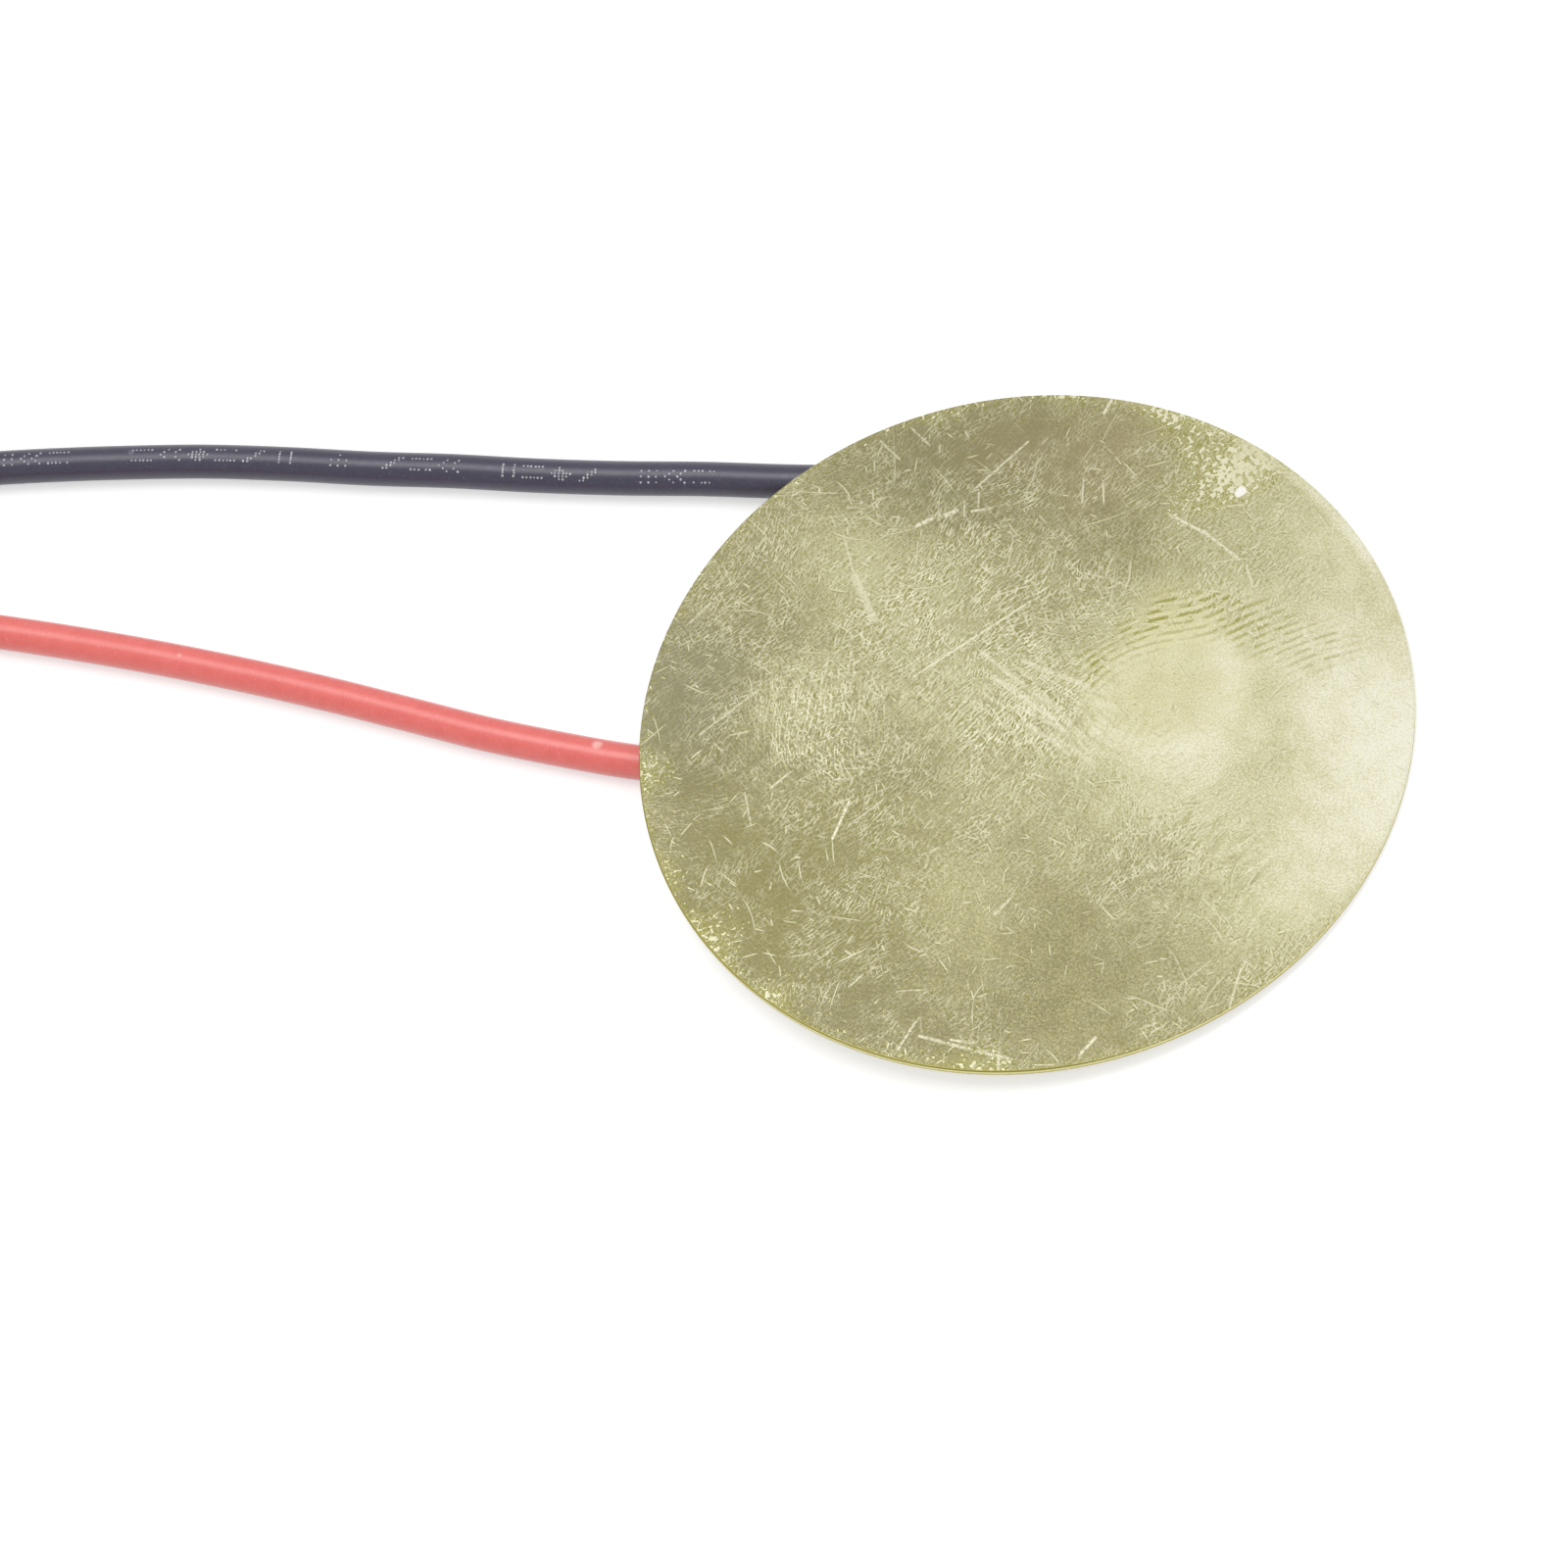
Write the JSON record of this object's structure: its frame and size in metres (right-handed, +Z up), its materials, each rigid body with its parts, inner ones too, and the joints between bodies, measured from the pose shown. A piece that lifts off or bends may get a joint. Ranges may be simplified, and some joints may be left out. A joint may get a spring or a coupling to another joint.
{
  "type": "piezo disc",
  "caption": "Bare piezo sounder or sensor disc: a thin round brass plate with a bonded silvered ceramic and soldered red and black stranded leads, lying brass side up.",
  "frame": {"origin": "on the table below the middle of the brass plate, which lies brass side up", "axes": "+Z up, square to the table; the leads run off towards -X along the table, the black one on the +Y side, and the plate leans 3.6 degrees down towards +X because it lies on its own leads"},
  "size_m": [0.0943, 0.0512, 0.0025],
  "materials": {
    "brass": "dull rolled brass with fine scratches and a fingerprint",
    "adhesive": "cured clear amber epoxy",
    "silver": "fired silver print, matt",
    "ceramic": "lapped unglazed ceramic",
    "solder": "bright solder with a little flux",
    "copper": "bare annealed copper strands",
    "tinned_copper": "tinned strands",
    "red_insulation": "satin soft vinyl",
    "black_insulation": null
  },
  "bodies": {
    "root": {"brass_plate": "brass", "bond_film": "adhesive", "inner_electrode": "silver", "ceramic_disc": "ceramic", "outer_electrode": "silver", "red_solder": "solder", "black_solder": "solder", "red_strands": "copper", "black_strands": "copper", "red_lead": "red_insulation", "black_lead": "black_insulation", "red_coil": "red_insulation", "black_coil": "black_insulation", "red_tip": "tinned_copper", "black_tip": "tinned_copper"}
  },
  "joints": []
}
